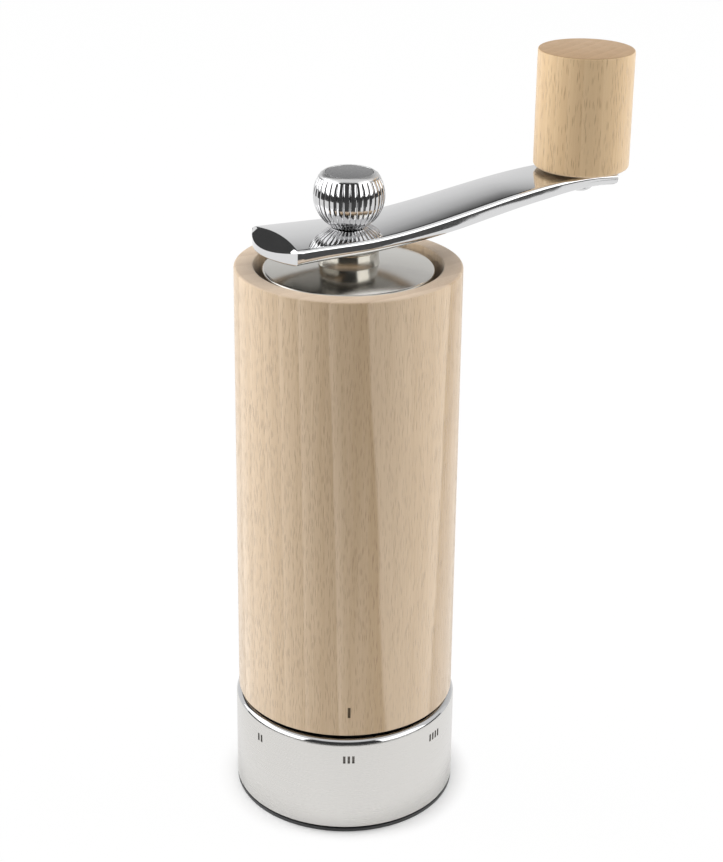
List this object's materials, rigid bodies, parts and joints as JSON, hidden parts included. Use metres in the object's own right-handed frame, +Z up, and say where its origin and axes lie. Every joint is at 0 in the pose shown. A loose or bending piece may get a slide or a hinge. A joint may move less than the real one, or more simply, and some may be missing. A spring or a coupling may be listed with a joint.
{
  "type": "salt mill",
  "caption": "Upright salt mill with a turned beech tube, a steel setting ring, a domed lid and a bent crank arm with a ball nut and a wooden grip.",
  "frame": {"origin": "middle of the outline on plan, on the surface that the mill stands on; the mill's own axis stands at x = -23.65 mm, y = 0", "axes": "+Z up along the mill's axis, +X from that axis towards the grip at rest"},
  "size_m": [0.1042, 0.057, 0.1907],
  "materials": {
    "beech": "turned beech, oiled and matt, with fine dark flecks along the grain",
    "satin_steel": "finely brushed round the ring, with a polished shoulder and dark setting marks",
    "polished_steel": "mirror polished",
    "lid_steel": "polished stainless steel with faint turning marks",
    "dark_disc": "dark grey, smooth and bare",
    "black_plastic": "moulded, matt black",
    "white_plastic": "moulded, off-white",
    "ceramic": "fired technical ceramic, matt",
    "plain_steel": "bright drawn steel",
    "brass": "turned",
    "rubber": "moulded rubber ring"
  },
  "bodies": {
    "mill_body": {"wooden_body": "beech", "mechanism_housing": "black_plastic", "housing_screw_1": "plain_steel", "housing_screw_2": "plain_steel", "housing_screw_3": "plain_steel", "retaining_ring": "plain_steel", "drag_ring": "rubber", "bearing_bridge": "black_plastic", "shaft_bush": "brass", "carrier_spring": "plain_steel"},
    "setting_ring": {"steel_sleeve": "satin_steel", "setting_collar": "black_plastic", "foot_ring": "black_plastic"},
    "carrier": {"grinder_carrier": "white_plastic", "outer_grinder": "ceramic"},
    "drive": {"drive_shaft": "plain_steel", "shaft_spacer": "white_plastic", "shaft_clip": "plain_steel", "inner_grinder": "ceramic", "rotor_washer": "plain_steel", "rotor_screw": "plain_steel"},
    "lid": {"lid_plug": "black_plastic", "lid_plate": "lid_steel", "lid_hub": "lid_steel", "hub_bush": "white_plastic", "hub_washer": "white_plastic"},
    "arm": {"crank_arm": "polished_steel", "grip_axle": "plain_steel", "axle_clip": "plain_steel", "grip_washer": "white_plastic"},
    "nut": {"ball_nut": "polished_steel", "ball_disc": "dark_disc"},
    "grip": {"wooden_grip": "beech", "grip_bush": "white_plastic"}
  },
  "joints": [
    {"name": "setting_turn", "type": "hinge", "parent": "mill_body", "child": "setting_ring", "pos_m": [-0.02365, 0, 0.014], "axis": [0, 0, 1], "range_deg": [-154.29, 102.86]},
    {"name": "carrier_slide", "type": "slide", "parent": "mill_body", "child": "carrier", "axis": [0, 0, 1], "range_m": [-0.00061, 0.00091], "deforming": ["carrier_spring"]},
    {"name": "crank_turn", "type": "hinge", "parent": "mill_body", "child": "drive", "pos_m": [-0.02365, 0, 0.04], "axis": [0, 0, 1], "continuous": true},
    {"name": "lid_lift", "type": "slide", "parent": "mill_body", "child": "lid", "axis": [0, 0, 1], "range_m": [0, 0.04]},
    {"name": "arm_lift", "type": "slide", "parent": "drive", "child": "arm", "axis": [0, 0, 1], "range_m": [0, 0.0601]},
    {"name": "nut_lift", "type": "slide", "parent": "arm", "child": "nut", "axis": [0, 0, 1], "range_m": [0, 0.0201]},
    {"name": "grip_spin", "type": "hinge", "parent": "arm", "child": "grip", "pos_m": [0.04015, 0, 0.17], "axis": [0, 0, 1], "continuous": true}
  ],
  "couplings": [
    {"joint": "carrier_slide", "follows": "setting_turn", "m_per_rad": -0.00033423},
    {"joint": "arm_lift", "follows": "lid_lift", "ratio": 1.5},
    {"joint": "nut_lift", "follows": "lid_lift", "ratio": 0.5}
  ]
}
